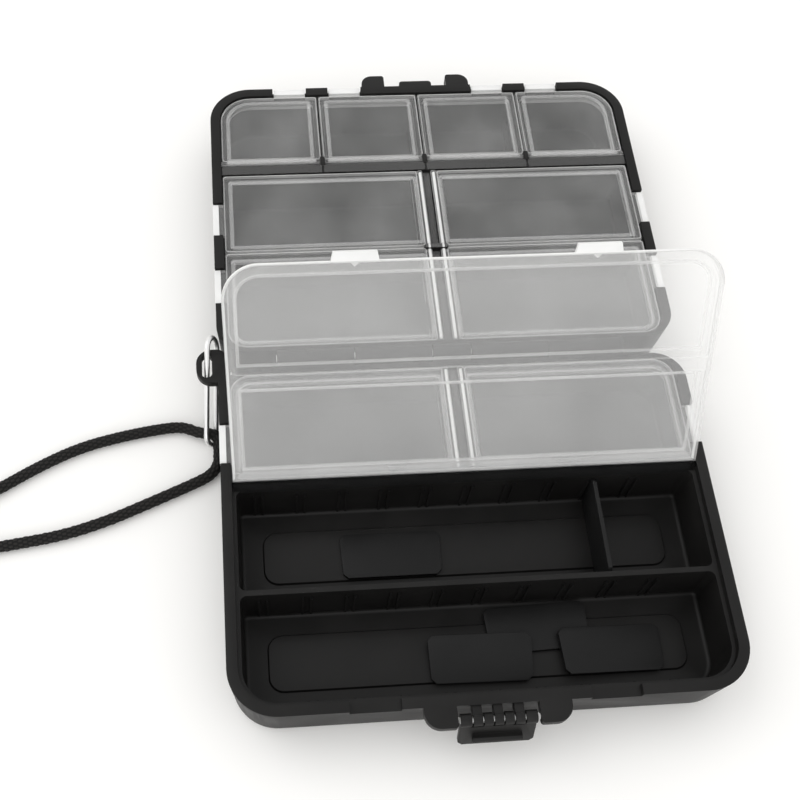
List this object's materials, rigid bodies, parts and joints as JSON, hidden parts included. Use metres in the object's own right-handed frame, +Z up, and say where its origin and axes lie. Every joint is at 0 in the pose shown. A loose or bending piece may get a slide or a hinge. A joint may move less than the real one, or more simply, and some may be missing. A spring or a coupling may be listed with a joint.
{
  "type": "pocket tackle box",
  "caption": "Pocket clamshell tackle box lying open: two hinged trays with frosted compartment lids, a clear cover panel, loose dividers, a front latch and a wrist cord.",
  "frame": {"origin": "centre of the front tray's flat underside, on the table", "axes": "+X along the hinge, towards the end away from the lanyard lug; +Y from the front tray to the back tray; +Z up"},
  "size_m": [0.2529, 0.1952, 0.0622],
  "materials": {
    "black_plastic": "satin black moulded plastic",
    "frosted_plastic": "frosted translucent plastic",
    "clear_plastic": "clear plastic, slightly hazy",
    "steel": "plain steel wire",
    "black_cord": "braided black cord"
  },
  "bodies": {
    "front_half": {"base_tray": "black_plastic", "shell_hinge_pin": "steel", "latch_pin": "steel", "spare_divider_middle": "black_plastic", "spare_divider_front_left": "black_plastic", "spare_divider_front_right": "black_plastic", "spare_divider_under": "black_plastic"},
    "back_half": {"lid_tray": "black_plastic"},
    "panel": {"cover_panel": "clear_plastic"},
    "latch": {"front_latch": "black_plastic"},
    "divider": {"fitted_divider": "black_plastic"},
    "lanyard": {"lanyard_link": "steel", "lanyard_cord": "black_cord"},
    "small_lid_1_body": {"small_lid_1": "frosted_plastic"},
    "small_lid_2_body": {"small_lid_2": "frosted_plastic"},
    "small_lid_3_body": {"small_lid_3": "frosted_plastic"},
    "small_lid_4_body": {"small_lid_4": "frosted_plastic"},
    "middle_lid_left_body": {"middle_lid_left": "frosted_plastic"},
    "middle_lid_right_body": {"middle_lid_right": "frosted_plastic"},
    "hinge_lid_left_body": {"hinge_lid_left": "frosted_plastic"},
    "hinge_lid_right_body": {"hinge_lid_right": "frosted_plastic"},
    "base_lid_left_body": {"base_lid_left": "frosted_plastic"},
    "base_lid_right_body": {"base_lid_right": "frosted_plastic"}
  },
  "joints": [
    {"name": "shell_hinge", "type": "hinge", "parent": "front_half", "child": "back_half", "pos_m": [0, 0.0473, 0.01715], "axis": [1, 0, 0], "range_deg": [0, 180]},
    {"name": "panel_hinge", "type": "hinge", "parent": "front_half", "child": "panel", "pos_m": [0, 0.0127, 0.0159], "axis": [1, 0, 0], "range_deg": [0, 126]},
    {"name": "latch_hinge", "type": "hinge", "parent": "front_half", "child": "latch", "pos_m": [0, -0.0476, 0.0152], "axis": [-1, 0, 0], "range_deg": [0, 160]},
    {"name": "small_lid_1_hinge", "type": "hinge", "parent": "back_half", "child": "small_lid_1_body", "pos_m": [-0.043, 0.1125, 0.0159], "axis": [-1, 0, 0], "range_deg": [-95, 0]},
    {"name": "small_lid_2_hinge", "type": "hinge", "parent": "back_half", "child": "small_lid_2_body", "pos_m": [-0.0145, 0.1125, 0.0159], "axis": [-1, 0, 0], "range_deg": [-95, 0]},
    {"name": "small_lid_3_hinge", "type": "hinge", "parent": "back_half", "child": "small_lid_3_body", "pos_m": [0.0145, 0.1125, 0.0159], "axis": [-1, 0, 0], "range_deg": [-95, 0]},
    {"name": "small_lid_4_hinge", "type": "hinge", "parent": "back_half", "child": "small_lid_4_body", "pos_m": [0.043, 0.1125, 0.0159], "axis": [-1, 0, 0], "range_deg": [-95, 0]},
    {"name": "middle_lid_left_hinge", "type": "hinge", "parent": "back_half", "child": "middle_lid_left_body", "pos_m": [-0.0019, 0.0951, 0.0159], "axis": [0, -1, 0], "range_deg": [-90, 0]},
    {"name": "middle_lid_right_hinge", "type": "hinge", "parent": "back_half", "child": "middle_lid_right_body", "pos_m": [0.0019, 0.0951, 0.0159], "axis": [0, 1, 0], "range_deg": [-90, 0]},
    {"name": "hinge_lid_left_hinge", "type": "hinge", "parent": "back_half", "child": "hinge_lid_left_body", "pos_m": [-0.0019, 0.0665, 0.0159], "axis": [0, -1, 0], "range_deg": [-90, 0]},
    {"name": "hinge_lid_right_hinge", "type": "hinge", "parent": "back_half", "child": "hinge_lid_right_body", "pos_m": [0.0019, 0.0665, 0.0159], "axis": [0, 1, 0], "range_deg": [-90, 0]},
    {"name": "base_lid_left_hinge", "type": "hinge", "parent": "front_half", "child": "base_lid_left_body", "pos_m": [-0.0019, 0.0293, 0.0159], "axis": [0, -1, 0], "range_deg": [-1, 0]},
    {"name": "base_lid_right_hinge", "type": "hinge", "parent": "front_half", "child": "base_lid_right_body", "pos_m": [0.0019, 0.0293, 0.0159], "axis": [0, 1, 0], "range_deg": [-1, 0]},
    {"name": "divider_slide", "type": "slide", "parent": "front_half", "child": "divider", "axis": [0, 0, -1], "range_m": [-0.014, 0]},
    {"name": "lanyard_swivel", "type": "hinge", "parent": "front_half", "child": "lanyard", "pos_m": [-0.0628, 0.0513, 0.014], "axis": [0, 0, 1], "range_deg": [-3, 0]}
  ],
  "couplings": [
    {"joint": "panel_hinge", "follows": "shell_hinge", "ratio": 0.7}
  ]
}
